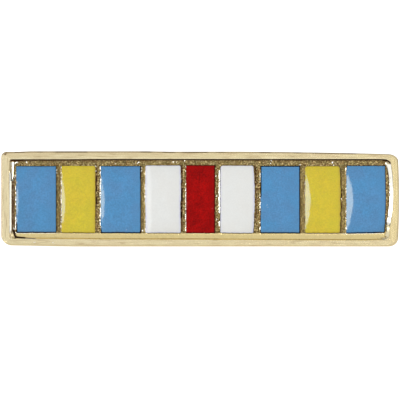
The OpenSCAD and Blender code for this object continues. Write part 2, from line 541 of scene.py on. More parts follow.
# How far the right wall's upper and lower edge draw in towards the ends of the wall
TOP_SAG = ((-1.4, 0.16), (-1.05, 0.13), (-0.68, 0.046), (-0.03, 0), (0.58, 0.004), (1.21, 0.046), (1.5, 0.12))
FOOT_SAG = (
    (-1.4, 0.165), (-1.2, 0.152), (-0.97, 0.118), (-0.68, 0.07), (-0.47, 0.03), (0.04, 0), (0.79, 0.017),
    (1.21, 0.059), (1.5, 0.145),
)
# The sag at each height is the mean over this stretch round it
SMOOTHING = np.linspace(-0.24, 0.24, 13)
END_BULGE = 0.03
# Radius of the rounded edge at the back and at the front
BACK_EDGE = 0.04
FRONT_EDGE = 0.1

outer = outline(-half_w, half_w, half_h, OUTER_CORNERS)
# The right end bulges by a hair
clear_of_corners = step_down(np.abs(outer[:, 1]), 1.5, 1.9)
bulging = step_up(outer[:, 0], 8, 8.2) * (outer[:, 1] / 1.35) ** 2 * clear_of_corners
outer[:, 0] -= END_BULGE * bulging
front = outer.copy()
follow(front, UPPER_EDGE, step_up(outer[:, 1], 1.2, half_h))
follow(front, LOWER_EDGE, step_up(-outer[:, 1], 1.2, half_h))
wall_top = outline(*WALL_TOP, half_h - RIM_W, INNER_CORNERS)
foot = outline(*WALL_FOOT, half_h - RIM_W - WALL_IN, INNER_CORNERS)
for inner_edge, sag in ((wall_top, TOP_SAG), (foot, FOOT_SAG)):
    sag_at, sag_by = zip(*sag)
    sagged = np.mean([np.interp(inner_edge[:, 1] + d, sag_at, sag_by) for d in SMOOTHING], axis=0)
    inner_edge[:, 0] -= sagged * step_up(inner_edge[:, 0], 7.3, 7.75)
    follow(inner_edge, UPPER_INNER, step_up(inner_edge[:, 1], 1.3, 1.6))
    follow(inner_edge, LOWER_INNER, step_up(-inner_edge[:, 1], 1.3, 1.6))
foot[:, 0] = np.where(unit[:, 0] == 1, np.maximum(foot[:, 0], grid_edge[:, 0] + 0.005), foot[:, 0])

# Where one section of the inner wall gives way to the next: heights up the left wall, heights down the
# left and right wall, and places along the lower wall
LEFT_STRIP_TO_SHELF = (0.76, 0.82)
LEFT_SHELF_TO_TOP = (1.05, 1.15)
LEFT_TO_CORNER = (1.34, 1.48)
RIGHT_TO_LOW = (0.98, 1.16)
RIGHT_TO_CORNER = (1.28, 1.42)
LOWER_TO_CORNER = (7.58, 7.84)
# How much each point of a ring belongs to an end of the bar rather than to its long sides, and to each
# section of the wall
run_on = np.roll(foot, -1, 0) - np.roll(foot, 1, 0)
at_end = run_on[:, 1] ** 2 / (run_on ** 2).sum(1)
at_left = at_end * (foot[:, 0] < 0)
at_right = at_end * (foot[:, 0] > 0)
at_upper = (1 - at_end) * (foot[:, 1] > 0)
at_lower = (1 - at_end) * (foot[:, 1] < 0)
high_left = at_left * step_up(foot[:, 1], *LEFT_SHELF_TO_TOP)
high_strip = at_left * step_up(foot[:, 1], *LEFT_STRIP_TO_SHELF)
low_left = at_left * step_up(-foot[:, 1], *LEFT_TO_CORNER)
low_right = step_up(-foot[:, 1], *RIGHT_TO_LOW)
right_corner = step_up(-foot[:, 1], *RIGHT_TO_CORNER)
turning = at_lower * step_up(foot[:, 0], *LOWER_TO_CORNER)
mid_left = at_left - high_left - low_left
upper_right = at_right * (1 - low_right)

# Run and rise of the wall from its foot to the top of the rim, on each side of the ground
STEEP_WALL = ((0, 0), (0.16, 0.12), (0.5, 0.55), (0.8, 0.88), (0.9, 0.955), (1, 1))
SOFT_WALL = ((0, 0), (0.22, 0.14), (0.5, 0.48), (0.78, 0.82), (1, 0.985))
LEFT_WALL = (
    (0, 0), (0.08, 0.08), (0.26, 0.36), (0.36, 0.53), (0.48, 0.76), (0.6, 0.895), (0.7, 0.934),
    (0.8, 0.964), (0.9, 0.985), (1, 1),
)
UPPER_LEFT_WALL = (
    (0, 0.02), (0.26, 0.03), (0.36, 0.055), (0.48, 0.09), (0.6, 0.145), (0.7, 0.20),
    (0.8, 0.265), (0.9, 0.93), (1, 1),
)
MIDDLE_LEFT_WALL = UPPER_LEFT_WALL[:6] + LEFT_WALL[-3:]
CORNER_WALL = ((0, 0), (0.02, 0.97), (1, 1))
RIGHT_WALL = ((0, 0), (0.02, 0.30), (1, 0.99))
LOWER_RIGHT_WALL = ((0, 0), (0.02, 0.95), (0.26, 1.036), (1, 1))
WALL_SECTIONS = (
    (at_upper, STEEP_WALL), (at_lower - turning, SOFT_WALL), (at_left - high_strip - low_left, LEFT_WALL),
    (high_strip - high_left, MIDDLE_LEFT_WALL), (high_left, UPPER_LEFT_WALL), (low_left, CORNER_WALL),
    (upper_right, RIGHT_WALL), (at_right * (low_right - right_corner), LOWER_RIGHT_WALL),
    (at_right * right_corner + turning, CORNER_WALL),
)
# The wall's rings of points, as shares of its run
RUNS = (0, 0.02, 0.08, 0.16, 0.26, 0.36, 0.48, 0.6, 0.7, 0.8, 0.9, 1)


def rise_at(run, wall):
    """How much of the wall's height is reached after that share of its run."""
    return np.interp(run, *zip(*wall))


rings = []
marks = []


def ring(xy, z, mark):
    """One ring of points at a height, with the mark that says what its metal looks like."""
    rings.append(np.column_stack([xy, np.broadcast_to(z, len(xy))]))
    marks.append(mark)


# Rings on the ground between the grid and the foot of the wall, as shares of the way
GROUND_RINGS = (0.3, 0.6, 0.8, 0.93)
for t in GROUND_RINGS:
    xy = grid_edge * (1 - t) + foot * t
    ring(xy, ground_height(xy[:, 0], xy[:, 1]), "ground")
foot_z = ground_height(foot[:, 0], foot[:, 1])
for run in RUNS:
    rise = sum(share * rise_at(run, wall) for share, wall in WALL_SECTIONS)
    ring(foot * (1 - run) + wall_top * run, foot_z + (rim_z - foot_z) * rise, float(run))
# The top of the rim, from its inner edge to its outer one, is slightly crowned, and hollow at the right
RIM_RINGS = (0.05, 0.10, 0.2, 0.35, 0.5, 0.62, 0.74)
SHOULDER = 0.006
SHOULDER_W = 0.15
END_CROWN = 0.006
CROWN = 0.002
CROWN_MIDDLE = 0.7
HOLLOW_INNER = 0.0024
HOLLOW_OUTER = 0.002
UNEVEN = 0.0012
for t in RIM_RINGS:
    xy = wall_top * (1 - t) + front * t
    rounded = SHOULDER * (at_upper + at_lower) * (1 - min(t / SHOULDER_W, 1)) ** 2
    crown = (1 - at_right) * (END_CROWN * t * at_end - CROWN * (2 * t - CROWN_MIDDLE) ** 2)
    hollowed = at_right * (HOLLOW_INNER * (1 - t) ** 2 + HOLLOW_OUTER * t)
    uneven = UNEVEN * blotches(xy[:, 0], xy[:, 1], 0.9, 21)
    ring(xy, rim_z - rounded + crown + hollowed + uneven, "rim")
# The outer edge starts with a crease, blunter at the left end, on a crest a little above the rim, and turns
# down to the side
CREASE = 30
CREASE_LEFT = 28
CREST = 0.002
CREST_LEFT = 0.0050
CREST_RIGHT = 0.001
EDGE_RINGS = 6
first_turn = np.radians(CREASE + CREASE_LEFT * at_left)
crest = rim_z + CREST + CREST_LEFT * at_left + CREST_RIGHT * at_right


def moved_in(inset):
    """The outline of the front, moved in by that much."""
    return front - (front - wall_top) * inset / RIM_W


for k in range(EDGE_RINGS):
    angle = first_turn + (math.pi / 2 - first_turn) * k / (EDGE_RINGS - 1)
    inset = FRONT_EDGE * (1 - np.sin(angle))[:, None]
    ring(moved_in(inset), crest - FRONT_EDGE * (np.cos(first_turn) - np.cos(angle)), "edge")
SIDE_HEIGHTS = (0.8, 0.45, BACK_EDGE)
BACK_TURN = (30, 60, 90)
BACK_IN = 0.08
for z in SIDE_HEIGHTS:
    ring(front, z, "side")
for angle in map(math.radians, BACK_TURN):
    ring(moved_in(BACK_EDGE * (1 - math.cos(angle))), BACK_EDGE * (1 - math.sin(angle)), "side")
ring(moved_in(BACK_IN), 0, "back")

start = nx * ny
before = first_ring
size = len(first_ring)
for k, points in enumerate(rings):
    rows.append(points)
    here = list(range(start + k * size, start + (k + 1) * size))
    faces += [(before[i], here[i], here[(i + 1) % size], before[(i + 1) % size]) for i in range(size)]
    before = here
# The round seat in the back that takes the post's pad
post_low, post_high = span("post")
seat_r = post_high[0] + FILL_GAP
seat_z = post_high[2] + FILL_GAP
SEAT_SIDES = 72
seat_from = start + len(rings) * size


def circle(r, z, count):
    """Points of a circle round the post's axis, at a height."""
    turns = [2 * math.pi * k / count for k in range(count)]
    return [(r * math.cos(a), r * math.sin(a), z) for a in turns]


rows += [np.array(circle(seat_r, z, SEAT_SIDES)) for z in (0, seat_z)]
for k in range(SEAT_SIDES):
    here, following = seat_from + k, seat_from + (k + 1) % SEAT_SIDES
    faces.append((here, following, following + SEAT_SIDES, here + SEAT_SIDES))
faces.append(tuple(seat_from + SEAT_SIDES + k for k in range(SEAT_SIDES))[::-1])
bar_mesh = bpy.data.meshes.new("struck_bar")
places = np.concatenate(rows)
bar_mesh.from_pydata(places.tolist(), [], faces)

# What the metal looks like at each point: toned ground, dirt and painted shade, edges polished bright,
# gilding that has gone grey, rich, pale or silvery gilding, which way the polishing marks run, and how even
# the toning is
x = places[:, 0].copy()
y = places[:, 1].copy()
x[:start] = even_x
y[:start] = even_y
LOOKS = ("toned", "dark", "worn", "grey", "rich", "pale", "silvery", "upright", "even")
looks = {name: np.zeros(len(places)) for name in LOOKS}
toned, dark, worn, grey, rich, pale, silvery, upright, even = looks.values()
# The pockets, and the metal along their edges, are painted dark, as painted shade in the gaps round the
# enamel
dark[:start] = sunk | part_sunk


def on_ring(k):
    """The points of one ring."""
    return slice(start + k * size, start + (k + 1) * size)


# How softly a stretch of shadow or polish starts and ends
EASE = 0.02


def along_line(stretches):
    """Strength of a line's marks at each point's height, from its stretches."""
    strength = np.zeros(len(places))
    for low, high, value in stretches:
        within = step_up(y, low - EASE, low + EASE) * step_down(y, high - EASE, high + EASE)
        strength = np.maximum(strength, value * within)
    return strength


# The strip below the pockets has lost its toning but for stains, and pale streaks run above the pockets
TONING_LOST = 0.985
STREAKS = 0.13
STAINS = 0.09
EVEN_ABOVE = 0.6
smooth_strip = step_down(y, -half_pocket - 0.02, -half_pocket + 0.03)
over_pockets = step_up(y, half_pocket - 0.02, half_pocket + 0.02)
streaked = STREAKS * np.clip(blotches(x / 7, y, 0.05, 94) + 0.5 * blotches(x, y, 0.10, 95), -0.3, 1)
ground_tone = 1 - TONING_LOST * smooth_strip - streaked * over_pockets
ground_tone += STAINS * smooth_strip * np.clip(blotches(x, y, 0.08, 96), 0, 1)
even[:] = EVEN_ABOVE * over_pockets
toned[:start] = ground_tone[:start]
rich[:start] = smooth_strip[:start]
line_height = np.abs(y) < half_pocket
for seed, (left, right, (_, shadow_reach, shadows, right_edge, shines)) in enumerate(metal_lines):
    inside = line_height & (x > left - HAIR) & (x < right + HAIR)
    broken_l = step_up(waves_up(y, 0.07, 60 + seed), -0.75, -0.1)
    broken_r = 0.72 + 0.5 * waves_up(y, 0.06, 80 + seed)
    start_in, end_in = shadow_reach
    in_shadow = step_up(x - left, start_in, start_in + 0.012) * step_down(x - left, end_in - 0.02, end_in)
    on_edge = step_up(x, right - right_edge[0] * 0.9, right - right_edge[0] * 0.5)
    dark[inside] = np.maximum(dark, along_line(shadows) * broken_l * in_shadow)[inside]
    worn[inside] = np.maximum(worn, along_line(shines) * broken_r * on_edge)[inside]
    if seed in EVEN_LINES:
        even[inside] = 1
end_strip = line_height & (x < pockets[0][0] + HAIR) & (x > pockets[0][0] - 0.05)
strip_broken = 0.72 + 0.6 * waves_up(y, 0.08, 90)
strip_shine = along_line(END_STRIP_SHINES) * strip_broken * step_up(x, *END_STRIP_SHINE_FROM)
worn[end_strip] = strip_shine[end_strip]
# The edge below the pockets is polished, most of all under the two at the ends
EDGE_W = 0.035
EDGE_SHINE = 0.34
MORE_AT_ENDS = 0.55
under_pockets = (y < -half_pocket) & (y > -half_pocket - EDGE_W)
under_pockets[start:] = False
worn[under_pockets] = EDGE_SHINE + MORE_AT_ENDS * step_up(np.abs(x), 5.9, 6.1)[under_pockets]

# Painted shade by the wall's foot on the upper side, a darker band by its foot on the left side, and toning
# by the foot of the lower wall
FOOT_SHADE_UPPER = 0.25
FOOT_DARKENING_LEFT = 0.35
FOOT_TONING_LOWER = 0.08
# Heights where the dark strip on the left wall starts and ends, the strength of the fine dark line
# above it, and the heights and strength of the short dark bar beside the enamel
STRIP_FROM = (-1.45, -1.30)
STRIP_TO = (0.72, 0.86)
FINE_LINE = 0.20
DARK_BAR_FROM = (0.80, 0.84)
DARK_BAR_TO = (0.92, 0.96)
DARK_BAR = 0.7
WALL_STAINS = 0.11
# The inner edge of the shine on the left wall, as (height, share of the wall's run), and the heights where
# the shine on the left and right wall ends
SHINE_FROM = ((1.04, 0.40), (1.12, 0.38), (1.21, 0.30), (1.38, 0.20))
LEFT_SHINE_TO = (1.49, 1.53)
RIGHT_SHINE_TO = (1.40, 1.52)
# How pale the rim is on each side, along the inner edge of its upper side, and how much less so for each
# millimetre to the right
PALE_LEFT = 0.65
PALE_RIGHT = 0.3
PALE_LOWER = 0.35
PALE_UPPER = 0.14
PALE_INNER = 0.8
PALE_FADES = 0.02
RICH_RIGHT = 0.5
# How grey the outer edge is, how much less along its lower side, and above which heights the broken grey
# stretches of its upper side lie
EDGE_GREY = 0.25
LESS_GREY_BELOW = 0.05
GREYER_ABOVE = (1.80, 1.88)
for k, mark in enumerate(marks):
    part = on_ring(k)
    part_x = x[part]
    part_y = y[part]
    upright[part] = at_end
    if mark == "ground":
        # The ground darkens towards the foot of the right and left wall, and a little of the upper one:
        # painted shade by the right and upper wall
        near_foot = GROUND_RINGS[k] ** 6
        ragged = 0.7 + 0.5 * waves_up(part_y, 0.07, 91)
        dark[part] = upper_right * near_foot * ragged + FOOT_SHADE_UPPER * at_upper * near_foot
        dark[part] += FOOT_DARKENING_LEFT * mid_left * near_foot * ragged
        toned[part] = ground_tone[part] + FOOT_TONING_LOWER * at_lower * near_foot
        rich[part] = smooth_strip[part]
    elif isinstance(mark, float):
        # The upper wall lies in shadow
        dark[part] = at_upper * step_down(mark, 0.93, 1.0) * (0.6 + 0.4 * step_up(mark, 0, 0.3))
        # A dark strip runs down the left wall
        strip = mid_left * step_down(mark, 0.46, 0.58) * (0.70 + 0.22 * blotches(part_x, part_y, 0.07, 92))
        strip = strip * (0.55 + 0.45 * step_up(mark, 0.1, 0.3))
        dark[part] += strip * step_down(part_y, *STRIP_TO) * step_up(part_y, *STRIP_FROM)
        # Above it the wall has a fine dark line under the rim, and a short dark bar beside the enamel
        dark[part] += FINE_LINE * high_left * step_up(mark, 0.64, 0.70) * step_down(mark, 0.92, 0.98)
        in_bar = step_up(part_y, *DARK_BAR_FROM) * step_down(part_y, *DARK_BAR_TO)
        dark[part] += DARK_BAR * at_left * step_up(mark, 0.1, 0.2) * step_down(mark, 0.36, 0.44) * in_bar
        # Painted shade lines the foot of the right wall
        dark[part] += upper_right * (mark < 0.05)
        # The lower wall is richly gilt at its foot, and stained brown in places
        at_foot = step_down(mark, 0, 0.3)
        stained = waves_along(part_x, 0.5, 93) + 0.6 * waves_along(part_x, 0.09, 97)
        toned[part] = (1 - smooth_strip[part]) * at_foot * (1 - at_right)
        toned[part] += WALL_STAINS * at_lower * step_down(mark, 0.3, 0.9) * np.clip(1 + stained, 0, 3)
        rich[part] = at_lower * at_foot
        pale[part] = at_lower * step_up(mark, 0.0, 0.2) + at_right * low_right
        silvery[part] = mid_left * step_up(mark, 0.56, 0.62)
        # The left wall is polished bright near its upper end, and the right wall all the way
        inner_bound = np.interp(part_y, *zip(*SHINE_FROM))
        worn[part] = high_strip * step_up(mark - inner_bound, 0, 0.08) * step_down(mark, 0.54, 0.62)
        worn[part] *= step_down(part_y, *LEFT_SHINE_TO)
        worn[part] += upper_right * (mark > 0.01) * step_down(part_y, *RIGHT_SHINE_TO)
    elif mark == "rim":
        # The rim is paler towards the left, and most of all along its upper side's inner edge
        inner_ring = k < len(GROUND_RINGS) + len(RUNS) + 2
        fades = PALE_FADES * part_x
        pale[part] = PALE_LEFT * at_left + at_lower * (PALE_LOWER - fades) + at_upper * (PALE_UPPER - fades)
        pale[part] += PALE_RIGHT * at_right + PALE_INNER * at_upper * inner_ring
        rich[part] = RICH_RIGHT * at_right
    elif mark == "edge":
        # The gilding of the outer edge has gone grey, in broken stretches along its upper side
        broken = step_up(waves_along(part_x, 0.45, 17), -0.3, 0.3)
        upper_stretches = step_up(part_y, *GREYER_ABOVE) * (0.35 + 0.4 * broken)
        grey[part] = EDGE_GREY - LESS_GREY_BELOW * at_lower + upper_stretches
        pale[part] = PALE_LEFT * at_left

# Strokes and spots of dirt and of painted shade in the inner corners, and of polish: points of a line, its
# half width, and strength
DARK_STROKES = (
    (((-7.83, -1.33), (-7.79, -1.47), (-7.745, -1.59)), 0.036, 1.0),
    (((-7.745, -1.60), (-7.58, -1.62), (-7.36, -1.635)), 0.030, 1.0),
    (((-7.36, -1.635), (-7.15, -1.655), (-6.9, -1.665)), 0.022, 0.55),
    (((7.66, 1.630), (7.83, 1.608), (7.915, 1.566), (7.960, 1.503), (7.972, 1.44)), 0.027, 1.0),
    (((7.98, 1.47), (7.955, 1.42), (7.94, 1.37)), 0.026, 0.5),
    (((-7.93, 1.595), (-7.80, 1.60), (-7.45, 1.62)), 0.032, 0.85),
    (((-7.93, -1.36), (-7.93, -1.50)), 0.022, 0.40),
    (((-7.96, -1.53), (-7.955, -1.64)), 0.030, 0.45),
    (((7.60, -1.655), (7.78, -1.655)), 0.028, 0.30),
    (((7.50, -1.70), (7.72, -1.69), (7.85, -1.62), (7.93, -1.52)), 0.022, 0.16),
    (((7.72, 1.40), (7.76, 1.36)), 0.030, 1.0),
    (((-8.20, 1.85), (-8.13, 1.91)), 0.020, 0.9),
    (((-7.78, 1.955), (-7.38, 1.962)), 0.012, 0.7),
    (((7.86, -1.22), (7.89, -1.30)), 0.014, 0.35),
    (((-4.53, -1.82), (-4.46, -1.80), (-4.40, -1.82)), 0.012, 0.35),
)
WORN_STROKES = (
    (((-7.93, 1.48), (-7.84, 1.48), (-7.74, 1.505), (-7.66, 1.515)), 0.026, 1.0),
    (((-7.90, 1.45), (-7.80, 1.45)), 0.024, 1.0),
    (((-7.85, 1.50), (-7.86, 1.34)), 0.024, 1.0),
    (((-7.885, 0.80), (-7.875, 0.92)), 0.018, 1.0),
    (((-7.79, 0.85), (-7.77, 0.98)), 0.016, 0.8),
    (((7.80, 1.50), (7.86, 1.35)), 0.030, 1.0),
    (((-7.00, -1.83), (-6.94, -1.82), (-6.88, -1.84)), 0.012, 0.8),
    (((-6.22, -1.85), (-6.17, -1.84), (-6.12, -1.86)), 0.012, 0.8),
    (((-7.82, -1.22), (-7.80, -1.26)), 0.022, 0.9),
)


def distance_to(line):
    """Distance of every point of the face from a line of points."""
    nearest = np.full(len(places), np.inf)
    for (ax, ay), (bx, by) in zip(line, line[1:]):
        run_x, run_y = bx - ax, by - ay
        t = np.clip(((x - ax) * run_x + (y - ay) * run_y) / (run_x ** 2 + run_y ** 2), 0, 1)
        nearest = np.minimum(nearest, np.hypot(x - ax - t * run_x, y - ay - t * run_y))
    return nearest


# How far from its line a stroke starts and ends to fade, as shares of its half width
STROKE_FADES = (0.7, 1.6)
last_front_ring = start + (len(GROUND_RINGS) + len(RUNS) + len(RIM_RINGS) + EDGE_RINGS) * size
on_face = np.arange(len(places)) < last_front_ring
for strokes, field in ((DARK_STROKES, dark), (WORN_STROKES, worn)):
    for line, half_width, strength in strokes:
        drawn = strength * step_down(distance_to(line), *(half_width * share for share in STROKE_FADES))
        field[on_face] = np.maximum(field, drawn)[on_face]
for pip in PIPS:
    worn[:] = np.maximum(worn, on_face * on_pip(x, y, pip, 1.3 * PIP_R))
dark *= 1 - np.clip(worn, 0, 1)
for name, values in looks.items():
    bar_mesh.attributes.new(name, "FLOAT", "POINT").data.foreach_set("value", np.clip(values, 0, 1))

filler = bmesh.new()
filler.from_mesh(bar_mesh)
bmesh.ops.triangle_fill(filler, edges=[e for e in filler.edges if e.is_boundary], normal=(0, 0, -1))
filler.to_mesh(bar_mesh)
filler.free()
bar_mesh.shade_smooth()
bar_mesh.set_sharp_from_angle(angle=math.radians(25))
bar_mesh.transform(leaned)
bar = in_scene("struck_bar", bar_mesh)


def face_mapping(tree, scale=(1, 1, 1)):
    """Object coordinates in millimetres, along the bar, into it and up its face, stretched by a scale."""
    coordinates = add_node(tree, "ShaderNodeTexCoord").outputs["Object"]
    tilt = math.atan2(out.z, -out.y)
    flat_again = add_node(
        tree, "ShaderNodeMapping",
        {"Vector": coordinates, "Rotation": (tilt, 0, 0), "Scale": (1000, 1000, 1000)},
    )
    return add_node(tree, "ShaderNodeMapping", {"Vector": flat_again.outputs[0], "Scale": scale}).outputs[0]


def speckle(tree, vector, scale, detail=2.0):
    """Random values round 0.5 in patches of one over the scale."""
    inputs = {"Vector": vector, "Scale": scale, "Detail": detail, "Roughness": 0.6}
    return add_node(tree, "ShaderNodeTexNoise", inputs).outputs["Fac"]


# The gilding: its own colour, rosy in patches, pale, rich or dusky, and silvery where it mirrors
GILT = (0.81, 0.685, 0.39, 1)
GILT_ROSY = (0.77, 0.625, 0.36, 1)
GILT_PALE = (0.88, 0.775, 0.50, 1)
GILT_RICH = (0.86, 0.70, 0.335, 1)
GILT_DUSKY = (0.66, 0.52, 0.30, 1)
SILVERY = (0.23, 0.22, 0.19, 1)
# The toned skin of the ground and of the metal lines
TONED = (0.185, 0.138, 0.050, 1)
TONED_BROWN = (0.165, 0.095, 0.036, 1)
TONED_LIGHT = (0.52, 0.42, 0.20, 1)
TONED_DEEP = (0.060, 0.036, 0.014, 1)
# Metal gone grey, a crevice's dirt and painted shade, the blackest of it, and metal that wear has bared
GREYED = (0.27, 0.20, 0.11, 1)
CREVICE = (0.105, 0.039, 0.010, 1)
SOOT_AND_SHADOW_COLOUR = (0.022, 0.010, 0.004, 1)
WORN = (0.97, 0.94, 0.83, 1)
BLACK = (0, 0, 0)


def mask(tree, factor, start, end):
    """0 where the factor is up to start and 1 from end on."""
    return ramp(tree, factor, (start, BLACK), (end, WHITE))


gilt, metal = blank_material("struck gilt brass")
by_mm = face_mapping(metal)
lengthways = speckle(metal, face_mapping(metal, (0.7, 9, 9)), 1.6, 3)
crossways = speckle(metal, face_mapping(metal, (9, 9, 0.7)), 1.6, 3)
patches = speckle(metal, by_mm, 1.1, 2)
grain = speckle(metal, by_mm, 15, 2)
coarse = speckle(metal, by_mm, 6, 2)
dots = speckle(metal, by_mm, 21, 1)
is_toned, is_dark, is_worn, is_grey, is_rich, is_pale, is_silvery, is_upright, is_even = [
    add_node(metal, "ShaderNodeAttribute", attribute_name=name).outputs["Fac"] for name in LOOKS
]
# The polishing marks run along the rim on each side
turned_across = maths(metal, "SUBTRACT", crossways, lengthways)
streaks = maths(metal, "MULTIPLY_ADD", is_upright, turned_across, lengthways)
# Dirt and painted shade first turn the metal brown and then black
dirt_and_painted_shade = rescaled(metal, is_dark, 0, 0.75)
soot_and_painted_shadow = rescaled(metal, is_dark, 0.70, 1)
# A worn edge shines only where its grains stand proud, so that it breaks into dots
proud = maths(metal, "ADD", is_worn, maths(metal, "MULTIPLY", dots, 0.9))
shines = rescaled(metal, proud, 0.85, 1.05)

bright = blend(metal, mask(metal, patches, 0.38, 0.62), GILT_ROSY, GILT)
bright = blend(metal, mask(metal, streaks, 0.52, 0.72), bright, GILT_PALE)
bright = blend(metal, is_pale, bright, GILT_PALE)
bright = blend(metal, mask(metal, streaks, 0.34, 0.44), GILT_DUSKY, bright)
bright = blend(metal, is_rich, bright, GILT_RICH)
bright = blend(metal, is_silvery, bright, SILVERY)
# The toned skin is browner, deeper and lighter from grain to grain
contrast = maths(metal, "MULTIPLY_ADD", is_even, -0.62, 1.0)
browned = maths(metal, "MULTIPLY", mask(metal, coarse, 0.46, 0.60), contrast)
dull = blend(metal, browned, TONED, TONED_BROWN)
deepened = maths(metal, "MULTIPLY", ramp(metal, grain, (0.36, WHITE), (0.48, BLACK)), contrast)
dull = blend(metal, deepened, dull, TONED_DEEP)
lightened = maths(metal, "MULTIPLY", mask(metal, grain, 0.54, 0.66), contrast)
dull = blend(metal, lightened, dull, TONED_LIGHT)
coloured = blend(metal, is_toned, bright, dull)
for amount, colour in ((is_grey, GREYED), (dirt_and_painted_shade, CREVICE), (soot_and_painted_shadow, SOOT_AND_SHADOW_COLOUR), (shines, WORN)):
    coloured = blend(metal, amount, coloured, colour)
rough = 0.14
for amount, rougher in ((is_toned, 0.14), (streaks, 0.10), (shines, -0.12), (dirt_and_painted_shade, 0.4)):
    rough = maths(metal, "MULTIPLY_ADD", amount, rougher, rough)
# Height of the finest grain and of the polishing marks, in metres
RELIEF_M = 0.000022
toned_relief = maths(metal, "MULTIPLY", is_toned, contrast)
relief = maths(metal, "MULTIPLY", toned_relief, maths(metal, "ADD", grain, coarse))
brushed = maths(metal, "MULTIPLY_ADD", is_upright, -0.17, 0.2)
relief = maths(metal, "MULTIPLY_ADD", streaks, brushed, relief)
bumps = add_node(metal, "ShaderNodeBump", {"Height": relief, "Strength": 1.0, "Distance": RELIEF_M})
finish_with(metal, {
    "Base Color": coloured, "Metallic": maths(metal, "MULTIPLY_ADD", dirt_and_painted_shade, -0.85, 1.0),
    "Roughness": rough, "Specular IOR Level": maths(metal, "MULTIPLY_ADD", dirt_and_painted_shade, -0.45, 0.5),
    "Normal": bumps.outputs[0],
})
bar_mesh.materials.append(gilt)
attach(bar, "root")
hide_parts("bar")

# Enamel
# Glass paste fired into the nine pockets. It sank as it cooled, so each fill is dished, with a rim that
# climbs its pocket's walls; the depth of the dish differs from pocket to pocket.
FILL_CORNER = 0.012
# Depth of each dish, how much shallower it gets towards the ends of its pocket, and how far its deepest
# point lies below the pocket's middle
DISH = {
    "enamel_1_blue": (0.0508, 0.30, 0.09), "enamel_2_yellow": (0.0466, 0.44, 0.15),
    "enamel_3_blue": (0.0506, 0.32, 0.18), "enamel_4_white": (0.0552, 0.20, 0.09),
    "enamel_5_red": (0.0295, 0.10, 0.09), "enamel_6_white": (0.0240, 0.20, 0.09),
    "enamel_7_blue": (0.0260, 0.20, 0.09), "enamel_8_yellow": (0.0428, 0.56, 0.12),
    "enamel_9_blue": (0.0488, 0.66, 0.08),
}
# How far the lip of the fill lies below the metal, and the hairlines left on the left, right, lower and
# upper side, where the enamel shrank from its pocket
LIP = 0.012
HAIRLINES = {
    "blue": (0.007, 0.017, 0.045, 0.020), "yellow": (0.008, 0.006, 0.024, 0.005),
    "white": (0.005, 0.006, 0.026, 0.008), "red": (0.005, 0.018, 0.022, 0.018),
}

fill_tree = bpy.data.node_groups.new("enamel fill", "GeometryNodeTree")
for label in ("Width", "Height", "Thickness", "Corner", "Dish Depth", "Dish Rounding", "Dish Drop"):
    fill_tree.interface.new_socket(name=label, in_out="INPUT", socket_type="NodeSocketFloat")
fill_tree.interface.new_socket(name="Enamel", in_out="INPUT", socket_type="NodeSocketMaterial")
fill_tree.interface.new_socket(name="Mesh", in_out="OUTPUT", socket_type="NodeSocketGeometry")
given = fill_tree.nodes.new("NodeGroupInput").outputs
FILL_COLUMNS = 49
FILL_ROWS = 81
plan = add_node(fill_tree, "GeometryNodeMeshGrid", {
    "Size X": given["Width"], "Size Y": given["Height"], "Vertices X": FILL_COLUMNS, "Vertices Y": FILL_ROWS,
})
place = add_node(
    fill_tree, "ShaderNodeSeparateXYZ", {0: add_node(fill_tree, "GeometryNodeInputPosition").outputs[0]},
)


def worked(operation, *values):
    """The result of one step of arithmetic in the fill's tree."""
    return maths(fill_tree, operation, *values)


half_x = worked("MULTIPLY", given["Width"], 0.5)
half_y = worked("MULTIPLY", given["Height"], 0.5)


def past_core(coordinate, half):
    """How far a coordinate lies into the corner, from 0 at the arc's centre line to 1 at the edge."""
    inner = worked("SUBTRACT", half, given["Corner"])
    beyond = worked("SUBTRACT", worked("ABSOLUTE", coordinate), inner)
    return worked("MAXIMUM", worked("DIVIDE", beyond, given["Corner"]), 0.0)


# A square corner is drawn in to a round one: the larger part over the distance, on each axis
corner_x = past_core(place.outputs["X"], half_x)
corner_y = past_core(place.outputs["Y"], half_y)
# The distance stays above this, because it is divided by
NEVER_ZERO = 0.0001
y_squared = worked("MULTIPLY", corner_y, corner_y)
squares = worked("MULTIPLY_ADD", corner_x, corner_x, y_squared)
far = worked("MAXIMUM", worked("SQRT", squares), NEVER_ZERO)
keep = worked("DIVIDE", worked("MAXIMUM", corner_x, corner_y), far)
pulled = worked("MULTIPLY", worked("SUBTRACT", 1.0, keep), given["Corner"])


def drawn_in(coordinate, corner_part):
    """The coordinate moved towards the arc's centre by its share of the corner's pull."""
    inwards = worked("MULTIPLY", worked("SIGN", coordinate), -1.0)
    return worked("MULTIPLY", inwards, worked("MULTIPLY", pulled, corner_part))


pull = add_node(
    fill_tree, "ShaderNodeCombineXYZ",
    {"X": drawn_in(place.outputs["X"], corner_x), "Y": drawn_in(place.outputs["Y"], corner_y)},
)
rounded_plan = add_node(
    fill_tree, "GeometryNodeSetPosition", {"Geometry": plan.outputs["Mesh"], "Offset": pull.outputs[0]},
)
lift = add_node(fill_tree, "ShaderNodeCombineXYZ", {"Z": given["Thickness"]})
raised = add_node(
    fill_tree, "GeometryNodeExtrudeMesh",
    {"Mesh": rounded_plan.outputs[0], "Offset": lift.outputs[0], "Individual": False},
)
